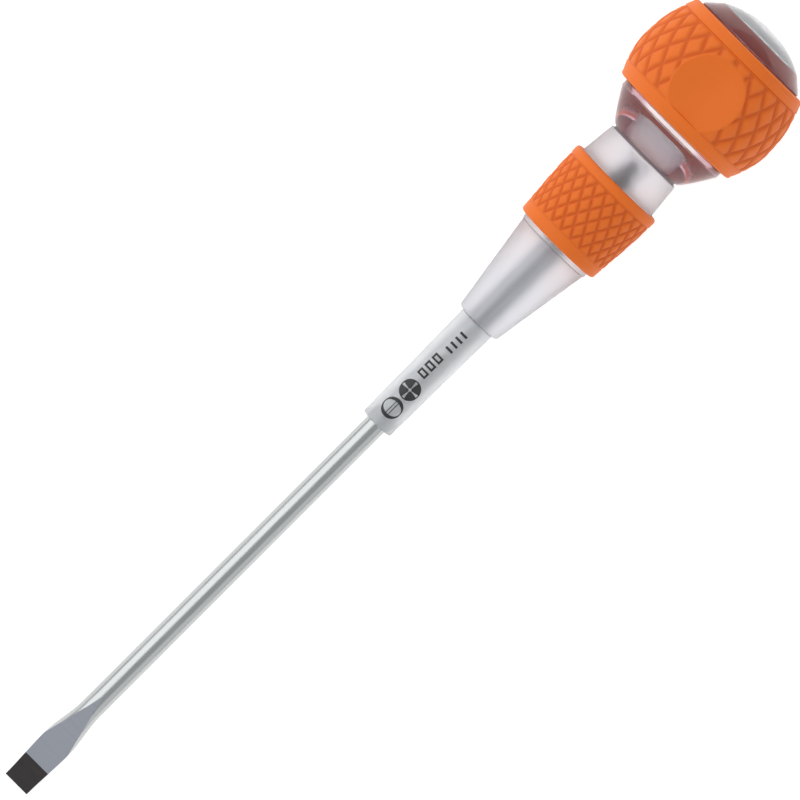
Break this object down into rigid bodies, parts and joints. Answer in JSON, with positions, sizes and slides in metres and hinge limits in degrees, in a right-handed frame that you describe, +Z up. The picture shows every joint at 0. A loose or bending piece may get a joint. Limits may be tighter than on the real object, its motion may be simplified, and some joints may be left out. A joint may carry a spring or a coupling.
{
  "type": "reversible screwdriver",
  "caption": "Reversible screwdriver: slotted and cross-point blade keyed into a clear ball handle with patterned grips, and a clear finger sleeve that turns on the shank.",
  "frame": {"origin": "bottom centre of the tool's box as it lies on a bench, resting on its slotted tip and its ball grip", "axes": "+X from the slotted tip to the crown, +Z up from the bench, +Y across; the tool's own axis rises 4.905 degrees towards +X"},
  "size_m": [0.2492, 0.0402, 0.0396],
  "materials": {
    "chrome_steel": "polished shank",
    "ground_tip": "ground, blackened at its end",
    "clear_plastic": "clear, polished",
    "bush_plastic": "translucent",
    "orange_grip": "satin elastomer with raised diamonds",
    "insert_steel": "as turned",
    "label_white": "printed film",
    "label_black": "printed film"
  },
  "bodies": {
    "blade": {"blade": "chrome_steel", "blade_tip": "ground_tip"},
    "bush": {"sleeve_bush": "bush_plastic"},
    "sleeve": {"finger_sleeve": "clear_plastic"},
    "handle": {"nose_core": "clear_plastic", "neck_grip": "orange_grip", "key_insert": "insert_steel", "detent_balls": "chrome_steel", "detent_clip": "insert_steel", "ball_core": "clear_plastic", "ball_grip": "orange_grip", "crown_disc": "label_white", "crown_mark": "label_black", "crown_lens": "clear_plastic"}
  },
  "joints": [
    {"name": "handle_pull", "type": "slide", "parent": "blade", "child": "handle", "axis": [0.9963, 0, 0.0855], "range_m": [0, 0.053]},
    {"name": "sleeve_slide", "type": "slide", "parent": "blade", "child": "bush", "axis": [0.9963, 0, 0.0855], "range_m": [-0.088, 0]},
    {"name": "sleeve_spin", "type": "hinge", "parent": "bush", "child": "sleeve", "pos_m": [0, 0, 0.01119], "axis": [0.9963, 0, 0.0855], "continuous": true}
  ]
}
